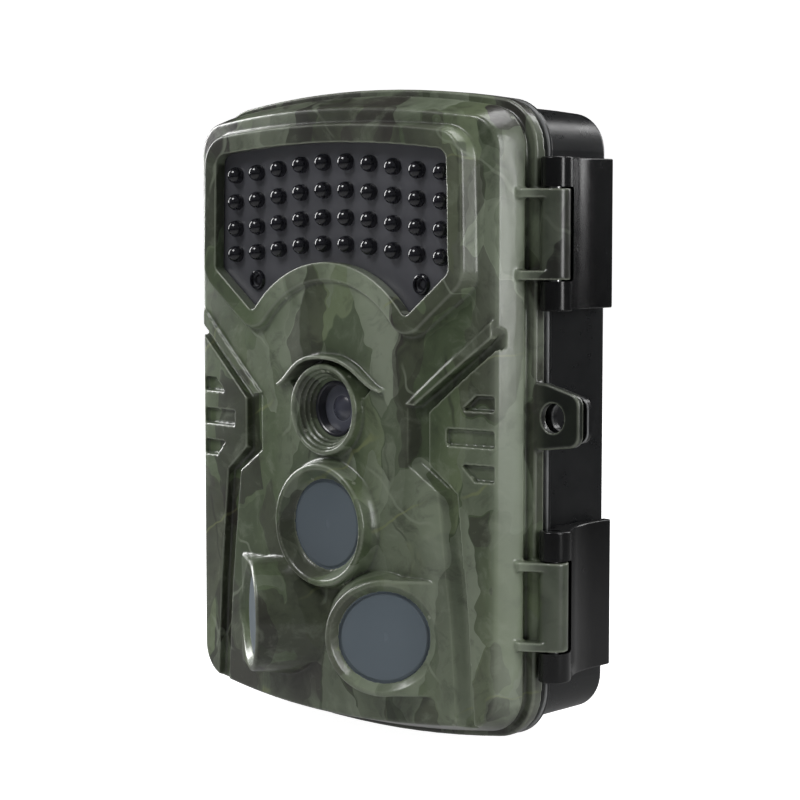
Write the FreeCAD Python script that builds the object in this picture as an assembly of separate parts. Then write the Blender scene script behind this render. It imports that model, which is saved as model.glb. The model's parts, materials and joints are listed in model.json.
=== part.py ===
"""Trail camera: a clamshell housing with a front cover that hinges on the left and two side latches on the right.

Frame: +X to the right of someone facing the lens, +Y from the lens towards the tree, +Z up, millimetres.
The origin is the mouth of the tripod socket, in the middle of the flat pad under the rear shell.
The shapes are drawn from a datum on the front face of the infrared window's bezel, and moved to the origin when they are written.
"""
import FreeCAD, Part
import math
import os

V = FreeCAD.Vector
os.makedirs("parts", exist_ok=True)

# ---------------------------------------------------------------- driving dimensions
TRIPOD_Y = 28.0          # tripod axis behind the bezel datum
FLOOR_Z = -2.5           # lowest point of the housing in the datum's heights
HALF_W = 48.3            # half width over the seam flange
TOP_Z, BOT_Z = 139.0, -2.5   # crown of the top and bottom arcs at the flange
ARC_R, CORNER_R = 250.0, 11.0
SEAM_Y = 16.0            # back face of the front cover's flange
FLANGE_Y0 = 13.3         # front face of that flange
REAR_Y0, REAR_Y1 = 17.3, 40.2
REAR_FLANGE_T = 1.5
WALL = 2.4
CROWN_R, CROWN_Y = 274.0, 1.17   # the front face is a shallow cylinder
SKIN = 4.4               # front face thickness between crown and cavity

LENS_Z = 69.2
PIR_Z = 43.95
POD_X, POD_Y, POD_Z = 20.84, -3.74, 21.7
POD_RIM_R = 12.6
POD_TURN = math.radians(36.0)   # how far the side sensors look outwards

LATCH_X, LATCH_Y = 51.9, 15.2    # latch pin
LATCH_Z = (107.65, 30.05)          # middles of the two latches
LATCH_H, KNUCKLE_H = 31.8, 18.8
PIN_R, BARREL_R = 1.25, 3.1
HINGE_X, HINGE_Y = -51.9, 16.65  # cover hinge pin
HINGE_Z = (106.0, 31.0)
HINGE_R = 3.0

LUG_X, LUG_Z, LUG_HOLE_R = 52.6, 69.6, 3.1

CARD_X = -8.5
JACK_X = -34.0
AA_R, AA_L = 7.1, 50.5
CELL_Y = 28.9
CELL_X = (-22.05, -7.35, 7.35, 22.05)
TRAY_Z0, TRAY_Z1 = 12.0, 124.5

MOVE = V(0, -TRIPOD_Y, -FLOOR_Z)
WRITTEN = []


def out(name, shape):
    s = shape.copy()
    s.translate(MOVE)
    solids = s.Solids
    assert solids, name
    for k in solids:
        assert k.isValid() and k.Volume > 0, name
    if len(solids) == 1:
        s = solids[0]
    else:
        s = Part.makeCompound(solids)
    s.exportStep("parts/%s.step" % name)
    WRITTEN.append((name, len(solids), round(sum(k.Volume for k in solids), 1)))


# ---------------------------------------------------------------- helpers
def box(x0, x1, y0, y1, z0, z1):
    return Part.makeBox(x1 - x0, y1 - y0, z1 - z0, V(x0, y0, z0))


def cyl_y(x, z, r, y0, y1):
    return Part.makeCylinder(r, y1 - y0, V(x, y0, z), V(0, 1, 0))


def cyl_z(x, y, r, z0, z1):
    return Part.makeCylinder(r, z1 - z0, V(x, y, z0), V(0, 0, 1))


def poly_y(points, y0, y1):
    """A prism along Y over a closed list of (x, z)."""
    w = Part.makePolygon([V(x, y0, z) for x, z in points] + [V(points[0][0], y0, points[0][1])])
    return Part.Face(w).extrude(V(0, y1 - y0, 0))


def poly_z(points, z0, z1):
    w = Part.makePolygon([V(x, y, z0) for x, y in points] + [V(points[0][0], points[0][1], z0)])
    return Part.Face(w).extrude(V(0, 0, z1 - z0))


def rev(profile, origin, direction):
    """Revolves a closed (radius, along) profile about an axis."""
    d = V(*direction).normalize()
    side = V(0, 0, 1)
    pts = [V(*origin) + side * r + d * s for r, s in profile]
    w = Part.makePolygon(pts + [pts[0]])
    return Part.Face(w).revolve(V(*origin), d, 360)


def rev_y(profile, x, z):
    return rev(profile, (x, 0, z), (0, 1, 0))


def outline(off, y, w=HALF_W, top=TOP_Z, bot=BOT_Z):
    """The housing's outline at depth y, offset by off: flat sides, arched top and bottom, round corners."""
    w, top, bot = w + off, top + off, bot - off
    R, r = ARC_R + off, max(CORNER_R + off, 1.5)
    ct, cb = top - R, bot + R
    h = math.sqrt((R - r) ** 2 - (w - r) ** 2)
    zt, zb = ct + h, cb - h
    k = R / (R - r)
    tx, tz, bz = (w - r) * k, ct + h * k, cb - h * k
    q = math.atan2(h, w - r) / 2
    mx, mz = r * math.cos(q), r * math.sin(q)
    A = lambda a, b, c: Part.Arc(V(a[0], y, a[1]), V(b[0], y, b[1]), V(c[0], y, c[1])).toShape()
    L = lambda a, b: Part.LineSegment(V(a[0], y, a[1]), V(b[0], y, b[1])).toShape()
    e = [A((-tx, tz), (0, top), (tx, tz)),
         A((tx, tz), (w - r + mx, zt + mz), (w, zt)),
         L((w, zt), (w, zb)),
         A((w, zb), (w - r + mx, zb - mz), (tx, bz)),
         A((tx, bz), (0, bot), (-tx, bz)),
         A((-tx, bz), (-(w - r + mx), zb - mz), (-w, zb)),
         L((-w, zb), (-w, zt)),
         A((-w, zt), (-(w - r + mx), zt + mz), (-tx, tz))]
    return Part.Wire(e)


def slab(off, y0, y1):
    return Part.Face(outline(off, y0)).extrude(V(0, y1 - y0, 0))


def crown(dy):
    """Everything behind the crowned front surface, moved back by dy."""
    c = Part.makeCylinder(CROWN_R, 200, V(0, CROWN_Y + dy + CROWN_R, -30), V(0, 0, 1))
    return c.common(box(-60, 60, -20, 30, -30, 170))


def fillet(shape, r, test):
    edges = [e for e in shape.Edges if test(e)]
    if not edges:
        return shape
    for rr in (r, r * 0.6, r * 0.3):
        try:
            s = shape.makeFillet(rr, edges)
            if s.isValid() and s.Volume > 0:
                return s
        except Exception:
            pass
    print("fillet skipped", r, len(edges))
    return shape


def fused(body, options):
    """Fuses the first option that joins cleanly and adds to the body."""
    for o in options:
        f = body.fuse(o)
        if f.isValid() and len(f.Solids) == 1 and f.Volume > body.Volume + 1.0:
            return f
    raise ValueError("no clean fuse")


def on_y(y, tol=0.01):
    return lambda e: abs(e.BoundBox.YMin - y) < tol and abs(e.BoundBox.YMax - y) < tol


# ---------------------------------------------------------------- infrared window outline
def window_wire(y, off=0.0):
    A = lambda a, b, c: Part.Arc(V(a[0], y, a[1]), V(b[0], y, b[1]), V(c[0], y, c[1])).toShape()
    L = lambda a, b: Part.LineSegment(V(a[0], y, a[1]), V(b[0], y, b[1])).toShape()
    r = 2.6
    e = [A((-32.35, 125.35), (0, 127.2), (32.35, 125.35)),
         A((32.35, 125.35), (34.2, 124.55), (35.0, 122.7)),
         L((35.0, 122.7), (35.45, 100.4)),
         A((35.45, 100.4), (35.3, 99.6), (34.65, 98.9)),
         L((34.65, 98.9), (24.3, 90.75)),
         A((24.3, 90.75), (23.4, 90.5), (22.5, 90.85)),
         A((22.5, 90.85), (0, 101.4), (-22.5, 90.85)),
         A((-22.5, 90.85), (-23.4, 90.5), (-24.3, 90.75)),
         L((-24.3, 90.75), (-34.65, 98.9)),
         A((-34.65, 98.9), (-35.3, 99.6), (-35.45, 100.4)),
         L((-35.45, 100.4), (-35.0, 122.7)),
         A((-35.0, 122.7), (-34.2, 124.55), (-32.35, 125.35))]
    w = Part.Wire(e)
    if off:
        w = w.makeOffset2D(off, 2 if off > 0 else 0, False, False, True)
        if hasattr(w, "Wires") and w.ShapeType != "Wire":
            w = w.Wires[0]
    return w


def window_prism(off, y0, y1):
    return Part.Face(window_wire(y0, off)).extrude(V(0, y1 - y0, 0))


DOME_X = [3.47 + 6.95 * i for i in range(5)]
DOME_DROP = (0.15, 0.6, 1.4, 2.15, 2.65)      # the rows sag towards the sides
DOME_XZ = []
for row, z in enumerate((123.2, 117.15, 111.2, 105.45)):
    for x, drop in zip(DOME_X, DOME_DROP):
        for s in (-1, 1):
            DOME_XZ.append((s * x + 0.6, z - drop))
DOME_R = 1.85
SENSOR_XZ = ((-24.2, 97.0), (25.8, 97.0))

# channel outlines on the right-hand side (mirrored on the left)
A_LINE = [(46.5, 87.2), (28.0, 70.1), (28.0, 60.2), (34.8, 54.5), (38.6, 27.0), (40.3, -4.0)]
B_LINE = [(46.5, 91.8), (21.8, 72.4), (21.8, 57.4), (29.4, 52.2), (31.6, 27.0), (34.0, -4.0)]


def mirror_x(s):
    return s.mirror(V(0, 0, 0), V(1, 0, 0))


def band_tool():
    """The channel between the side panel and the middle: steep on the panel's side, sloping on the middle's side."""
    def wire(y):
        d = (y - 1.2) * 0.95
        # move the middle's edge outwards as it goes deeper
        b = [(x + d * (0.45 if i == 0 else 0.9), z - (d * 0.75 if i == 0 else (d * 0.35 if i == 1 else 0))) for i, (x, z) in enumerate(B_LINE)]
        a = [(x + (1.2 - y) * 0.12, z) for x, z in A_LINE]
        pts = a + b[::-1]
        return Part.makePolygon([V(x, y, z) for x, z in pts] + [V(pts[0][0], y, pts[0][1])])
    return Part.makeLoft([wire(-1.5), wire(8.0)], True, True)


SLOTS = [[(50, 74.15), (39.9, 74.15), (36.2, 70.95), (50, 70.95)],
         [(50, 66.9), (32.5, 66.9), (32.5, 63.3), (50, 63.3)],
         [(50, 59.6), (36.1, 59.6), (39.6, 56.1), (50, 56.1)]]


def pod_axis(sx):
    return (sx * POD_X, POD_Y, POD_Z), (sx * math.sin(POD_TURN), -math.cos(POD_TURN), 0)


def pod_outer(sx):
    o, d = pod_axis(sx)
    cone = rev([(0, 0), (POD_RIM_R, 0), (14.1, -16), (14.1, -24), (0, -24)], o, d)
    cone = fillet(cone, 0.7, lambda e: abs(e.BoundBox.ZLength - 2 * POD_RIM_R) < 0.1)
    cone = cone.common(box(-40, 40, -30, 7, POD_Z - 13.3, POD_Z + 13.3))
    ext = box(20.0, 30.3, -14, 7, POD_Z - 12.5, POD_Z + 12.5)
    if sx < 0:
        ext = mirror_x(ext)
    p = V(*o)
    n = V(*d)
    # keep what lies behind the rim's plane
    cutter = Part.makeBox(80, 80, 80, V(-40, -40, 0))
    cutter.Placement = FreeCAD.Placement(p, FreeCAD.Rotation(V(0, 0, 1), n)).multiply(FreeCAD.Placement(V(0, 0, 0), FreeCAD.Rotation()))
    ext = ext.cut(cutter)
    ext = fillet(ext, 0.7, lambda e: e.Length > 9 and e.BoundBox.YLength > 5 and e.BoundBox.XLength > 7 and e.BoundBox.ZLength < 0.05)
    return cone.fuse(ext)


def front_shell():
    secs = [outline(-4.15, 0.2), outline(-3.55, 4.6), outline(-2.35, 8.2), outline(-1.5, 11.7)]
    body = Part.makeLoft(secs, True, False)
    body = body.common(crown(0))
    body = fillet(body, 1.1, lambda e: e.BoundBox.YMax < 6.2 and (e.BoundBox.XLength > 5 or e.BoundBox.ZLength > 5))
    neck = slab(-2.35, 11.69, FLANGE_Y0 + 0.01)
    flange = fillet(slab(0, FLANGE_Y0, SEAM_Y), 0.5, on_y(FLANGE_Y0))
    body = body.fuse(neck).fuse(flange)
    # channels and slots in the side panels
    floor = crown(2.2)
    band = band_tool().cut(floor)
    band_l = mirror_x(band)
    body = body.cut(band).cut(band_l)
    sfloor = crown(1.2)
    for s in SLOTS:
        t = poly_y(s, -3, 9).cut(sfloor)
        t = t.common(slab(-4.0, -5, 12))
        body = body.cut(t).cut(mirror_x(t))
    # infrared window bezel
    bez = Part.makeLoft([window_wire(5.0, 5.3), window_wire(0.0, 3.95)], True, True)
    soft = fillet(bez, 0.7, on_y(0.0))
    body = fused(body, [soft, bez])
    # slim raised ribs along the upper edge of each channel
    rib = poly_y([(22.3, 71.6), (24.5, 71.3), (45.2, 87.2), (44.6, 90.2), (43.6, 89.6)], -1.0, 6.0)
    rib = rib.common(crown(-0.7))
    rib = rib.common(slab(-4.3, -5, 12))
    rib = fillet(rib, 0.3, lambda e: e.BoundBox.YMax < 4.2 and e.Length > 10)
    body = body.fuse(rib).fuse(mirror_x(rib))
    # passive infrared ring in the middle
    ring = rev_y([(8.0, -1.0), (10.2, 0.35), (12.0, -2.25), (12.35, -2.6), (13.15, -2.6), (13.5, -2.3), (13.9, 0.0), (14.6, 1.6), (15.2, 2.6), (15.2, 5.0), (8.0, 5.0)], 0, PIR_Z)
    body = body.fuse(ring)
    # pods for the two side sensors
    for sx in (1, -1):
        body = body.fuse(pod_outer(sx))
    # lens barrel, brow and the recess between them
    recess = Part.Face(Part.Wire([
        spline([(-13.2, 75.2), (-9.3, 78.05), (-5.05, 80.15), (0, 80.75), (5.05, 80.15), (9.3, 78.05), (13.2, 75.2)], -3),
        Part.LineSegment(V(13.2, -3, 75.2), V(9.0, -3, 71.0)).toShape(),
        Part.LineSegment(V(9.0, -3, 71.0), V(-9.0, -3, 71.0)).toShape(),
        Part.LineSegment(V(-9.0, -3, 71.0), V(-13.2, -3, 75.2)).toShape()])).extrude(V(0, 9, 0)).cut(crown(2.9))
    body = body.cut(recess)
    brow_o = spline([(-16.0, 74.2), (-12.7, 76.0), (-9.5, 78.5), (-5.2, 80.6), (0, 81.2), (5.2, 80.6), (9.5, 78.5), (12.7, 76.0), (16.0, 74.2)], -3)
    brow_i = spline([(15.7, 73.6), (12.2, 75.2), (9.0, 77.7), (4.9, 79.7), (0, 80.3), (-4.9, 79.7), (-9.0, 77.7), (-12.2, 75.2), (-15.7, 73.6)], -3)
    brow = Part.Face(Part.Wire([brow_o, Part.LineSegment(V(16.0, -3, 74.2), V(15.7, -3, 73.6)).toShape(), brow_i,
                                Part.LineSegment(V(-15.7, -3, 73.6), V(-16.0, -3, 74.2)).toShape()])).extrude(V(0, 9, 0))
    brow = brow.common(Part.makeCylinder(60, 60, V(0, 58.0, 50), V(0, 0, 1)))
    brow = fillet(brow, 0.3, lambda e: e.BoundBox.YMax < 1.5 and e.Length > 10)
    body = body.fuse(brow)
    barrel = rev_y([(5.6, 0.4), (8.9, -0.9), (9.2, -1.15), (9.7, -1.15), (10.0, -0.8), (10.4, 2.0), (10.9, 3.2), (10.9, 6.2), (5.6, 6.2)], 0, LENS_Z)
    body = body.fuse(barrel)
    # cavity
    cav = slab(-4.3, 2.0, SEAM_Y + 1).common(crown(SKIN))
    body = body.cut(cav)
    # stepped bore for the lens
    steps = [(8.8, -4.0), (8.8, -0.1), (8.1, -0.1), (8.1, 0.9), (7.4, 0.9), (7.4, 1.9), (6.75, 1.9), (6.75, 2.9), (6.2, 2.9), (6.2, 4.95), (6.9, 4.95), (6.9, 9.0), (0, 9.0), (0, -4.0)]
    body = body.cut(rev_y(steps, 0, LENS_Z))
    # seat of the middle sensor's lens
    body = body.cut(rev_y([(12.05, -4.0), (12.05, -2.2), (9.9, 0.3), (9.9, 0.5), (10.9, 0.5), (10.9, 9), (0, 9), (0, -4)], 0, PIR_Z))
    # bores of the pods
    for sx in (1, -1):
        o, d = pod_axis(sx)
        body = body.cut(rev([(0, 6), (13.2, 6), (11.5, 0), (9.85, -1.5), (9.85, -1.7), (10.3, -1.7), (10.3, -17), (0, -17)], o, d))
    # window opening with a rebate behind it
    body = body.cut(window_prism(0, -2, 9)).cut(window_prism(1.25, 3.0, 9))
    # bosses for the inner panel and standoffs for the main board
    for x, z in PANEL_SCREWS:
        body = body.fuse(cyl_y(x, z, 2.7, 6.5, 13.85)).cut(cyl_y(x, z, 1.12, 8.4, 14))
    for x, z in BOARD_SCREWS:
        body = body.fuse(cyl_y(x, z, 2.3, 4.6, 8.58)).cut(cyl_y(x, z, 0.82, 6.0, 9))
    # knuckles for the latches
    for zc in LATCH_Z:
        z0, z1 = zc - KNUCKLE_H / 2, zc + KNUCKLE_H / 2
        k = cyl_z(LATCH_X, LATCH_Y, BARREL_R, z0, z1)
        web = poly_z([(47.0, 13.4), (49.4, 13.4), (50.0, 13.0), (51.0, 15.2), (50.4, 15.95), (47.0, 15.95)], z0, z1)
        k = k.fuse(web)
        for a, b in ((z0, z0 + 1.9), (z1 - 1.9, z1)):
            k = k.fuse(poly_z([(45.6, 9.2), (47.4, 9.2), (48.2, 9.6), (52.6, 12.2), (51.9, 15.2), (47.0, 15.9)], a, b))
        k = fillet(k, 0.35, lambda e: e.BoundBox.ZLength < 0.01 and e.Length > 3 and e.BoundBox.XMax > 50 and (abs(e.BoundBox.ZMin - z0) < .01 or abs(e.BoundBox.ZMin - z1) < .01))
        k = k.cut(cyl_z(LATCH_X, LATCH_Y, PIN_R + 0.02, z0 - 1, z1 + 1))
        k = k.cut(slab(-1.9, 2, 13.0).common(box(0, 60, 2, 13, -10, 150)))
        body = body.fuse(k)
    # knuckles for the cover's hinge
    for zc in HINGE_Z:
        z0, z1 = zc - 7.0, zc + 7.0
        k = cyl_z(HINGE_X, HINGE_Y, HINGE_R, z0, z1)
        k = k.fuse(poly_z([(-46.6, 13.4), (-49.4, 13.4), (-52.5, 13.9), (-51.9, 16.0), (-48.6, 15.95), (-46.6, 15.95)], z0, z1))
        k = k.cut(cyl_z(HINGE_X, HINGE_Y, PIN_R + 0.08, z0 - 1, z1 + 1))
        body = body.fuse(k)
    # padlock lug
    lug = poly_y([(46.5, 62.7), (51.0, 62.8), (59.5, 63.9), (59.5, 74.4), (51.0, 76.7), (46.5, 76.9)], 13.5, 15.2)
    lug = fillet(lug, 2.5, lambda e: e.BoundBox.YLength > 1.6 and e.BoundBox.XMin > 56)
    lug = fillet(lug, 0.45, lambda e: abs(e.BoundBox.YMax - 13.5) < .01 and e.BoundBox.XMax > 50)
    body = body.fuse(lug)
    body = body.cut(cyl_y(LUG_X, LUG_Z, LUG_HOLE_R, 10, 18).common(box(48.9, 60, 10, 18, 60, 80)))
    return body


def spline(pts, y):
    c = Part.BSplineCurve()
    c.interpolate([V(x, y, z) for x, z in pts])
    return c.toShape()


PANEL_SCREWS = [(-39.5, 122.0), (39.5, 122.0), (-40.2, 68.0), (40.2, 68.0), (-38.5, 14.0), (38.5, 14.0)]
BOARD_SCREWS = [(-29.5, 82.0), (29.5, 82.0), (-29.5, 36.0), (29.5, 36.0)]


# ---------------------------------------------------------------- rear shell
REAR_BODY_OFF = -2.35


def rear_shell():
    body = Part.makeLoft([outline(REAR_BODY_OFF, REAR_Y0 + 0.5), outline(REAR_BODY_OFF - 0.15, REAR_Y1)], True, True)
    body = fillet(body, 1.4, on_y(REAR_Y1))
    fl = fillet(slab(0, REAR_Y0, REAR_Y0 + REAR_FLANGE_T), 0.5, on_y(REAR_Y0 + REAR_FLANGE_T))
    fl = fillet(fl, 0.45, on_y(REAR_Y0))
    body = body.fuse(fl)
    # flat pad round the tripod socket
    pad = box(-19, 19, 19.2, 37.2, FLOOR_Z, 4.0)
    pad = fillet(pad, 2.0, lambda e: e.BoundBox.ZLength > 6)
    body = body.fuse(pad)
    # boss of the power inlet
    boss = fillet(box(JACK_X - 6.4, JACK_X + 6.4, 22.0, 36.9, 1.5, 8.0), 1.5, lambda e: e.BoundBox.ZLength > 6)
    body = body.fuse(boss)
    # cavity
    body = body.cut(slab(REAR_BODY_OFF - WALL - 0.4, REAR_Y0 - 1, REAR_Y1 - 2.3))
    # inside bosses
    body = body.fuse(cyl_z(0, TRIPOD_Y, 7.2, 0, 9.6))
    # tripod socket
    body = body.cut(cyl_z(0, TRIPOD_Y, 5.0, FLOOR_Z - 1, 9.0))
    # power inlet bore
    body = body.cut(cyl_z(JACK_X, 27.9, 3.6, 0, 4.95)).cut(cyl_z(JACK_X, 27.9, 4.5, 4.95, 12))
    # hinge ears of the inlet's cap
    for x0 in (JACK_X - 5.0, JACK_X + 3.4):
        ear = box(x0, x0 + 1.6, 33.6, 36.6, -0.6, 1.6)
        ear = ear.cut(Part.makeCylinder(0.45, 4, V(x0 - 1, 35.2, 0.55), V(1, 0, 0)))
        body = body.fuse(ear)
    # strap loops
    for sx in (-1, 1):
        x0, x1 = sorted((sx * 30.0, sx * 36.5))
        bar = box(x0, x1, 45.0, 48.2, 49.0, 87.5)
        bar = fillet(bar, 1.2, lambda e: e.BoundBox.ZLength > 38 and e.BoundBox.YMin > 47)
        body = body.fuse(bar)
        for z0 in (49.0, 84.0):
            body = body.fuse(box(x0, x1, 38.6, 45.5, z0, z0 + 3.5))
    # toothed ribs that bite into the bark
    for sx in (-1, 1):
        for zlo, zhi in ((92.0, 122.0), (15.0, 45.0)):
            n = 6
            st = (zhi - zlo) / n
            pts = [(39.0, zlo)]
            for i in range(n):
                pts += [(42.2, zlo + st * (i + 0.1)), (45.6, zlo + st * (i + 0.5)), (42.2, zlo + st * (i + 0.9))]
            pts += [(39.0, zhi)]
            w = Part.makePolygon([V(0, y, z) for y, z in pts] + [V(0, pts[0][0], pts[0][1])])
            rib = Part.Face(w).extrude(V(3.0, 0, 0))
            rib.translate(V(sx * 19.0 - 1.5, 0, 0))
            body = body.fuse(rib)
    # rear knuckles of the cover's hinge
    for zc in HINGE_Z:
        for z0, z1 in ((zc - 12.3, zc - 7.3), (zc + 7.3, zc + 12.3)):
            k = cyl_z(HINGE_X, HINGE_Y, HINGE_R, z0, z1)
            k = k.fuse(poly_z([(-46.0, 17.6), (-49.2, 17.4), (-51.9, 16.65), (-53.0, 19.2), (-50.5, 20.2), (-47.0, 21.4), (-45.2, 21.6)], z0, z1))
            k = k.cut(cyl_z(HINGE_X, HINGE_Y, PIN_R, z0 - 1, z1 + 1))
            body = body.fuse(k)
    # ribs that the latches snap over
    for zc in LATCH_Z:
        body = body.fuse(cyl_z(45.2, 33.5, 1.6, zc - 11, zc + 11).common(box(44.9, 50, 30, 37, -10, 150)))
    # padlock lug
    lug = poly_y([(45.5, 63.5), (51.0, 63.6), (58.9, 64.6), (58.9, 73.5), (51.0, 75.6), (45.5, 75.9)], 16.95, 18.75)
    lug = fillet(lug, 2.4, lambda e: e.BoundBox.YLength > 1.7 and e.BoundBox.XMin > 55)
    body = body.fuse(lug)
    body = body.cut(cyl_y(LUG_X, LUG_Z, LUG_HOLE_R, 15, 20).common(box(48.9, 60, 10, 20, 60, 80)))
    # seal groove, cut last so that the lugs stand clear of it
    g = slab(-1.7, REAR_Y0 - 2.0, REAR_Y0 + 1.0).cut(slab(-4.1, REAR_Y0 - 3, REAR_Y0 + 2))
    body = body.cut(g)
    # tray screws
    for x, z in TRAY_SCREWS:
        body = body.cut(cyl_y(x, z, 0.9, 36.5, 39.3))
    return body


TRAY_SCREWS = [(-34.0, 44.0), (34.0, 44.0), (-34.0, 93.0), (34.0, 93.0)]


# ---------------------------------------------------------------- latch
def latch(zc):
    z0, z1 = zc - LATCH_H / 2, zc + LATCH_H / 2
    outer = [(LATCH_X + 3.1, LATCH_Y), (LATCH_X + 2.75, 17.4), (53.3, 19.6), (51.9, 21.9), (50.9, 24.2), (50.2, 26.8), (49.75, 29.6), (49.6, 33.5), (49.5, 37.8)]
    inner = [(47.4, 37.9), (47.35, 33.5), (47.3, 28.0), (47.35, 23.0), (47.8, 20.0), (49.0, 18.9), (49.35, 17.4), (LATCH_X - 2.6, 16.6)]
    co = Part.BSplineCurve(); co.interpolate([V(x, y, z0) for x, y in outer])
    ci = Part.BSplineCurve(); ci.interpolate([V(x, y, z0) for x, y in inner])
    w = Part.Wire([co.toShape(), Part.LineSegment(V(*outer[-1], z0), V(*inner[0], z0)).toShape(), ci.toShape(),
                   Part.LineSegment(V(*inner[-1], z0), V(*outer[0], z0)).toShape()])
    plate = Part.Face(w).extrude(V(0, 0, LATCH_H))
    plate = fillet(plate, 0.5, lambda e: e.BoundBox.ZLength > 30 and e.BoundBox.YMin > 37)
    s = plate.fuse(cyl_z(LATCH_X, LATCH_Y, BARREL_R, z0, z1)).removeSplitter()
    s = fillet(s, 0.35, lambda e: e.BoundBox.ZLength < 0.01 and e.Length > 4)
    # room for the shell's knuckle
    kz0, kz1 = zc - KNUCKLE_H / 2 - 0.35, zc + KNUCKLE_H / 2 + 0.35
    gap = cyl_z(LATCH_X, LATCH_Y, BARREL_R + 0.85, kz0, kz1).fuse(box(46, LATCH_X, 10, 19.3, kz0, kz1))
    gap = fillet(gap.removeSplitter(), 0.8, lambda e: e.BoundBox.ZLength < .01 and e.BoundBox.XMax > 54)
    s = s.cut(gap)
    s = s.cut(cyl_z(LATCH_X, LATCH_Y, PIN_R + 0.08, z0 - 1, z1 + 1))
    # groove of the finger grip under the free end
    s = s.cut(cyl_z(47.15, 36.0, 0.7, z0 + 4, z1 - 4))
    return s


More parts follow.
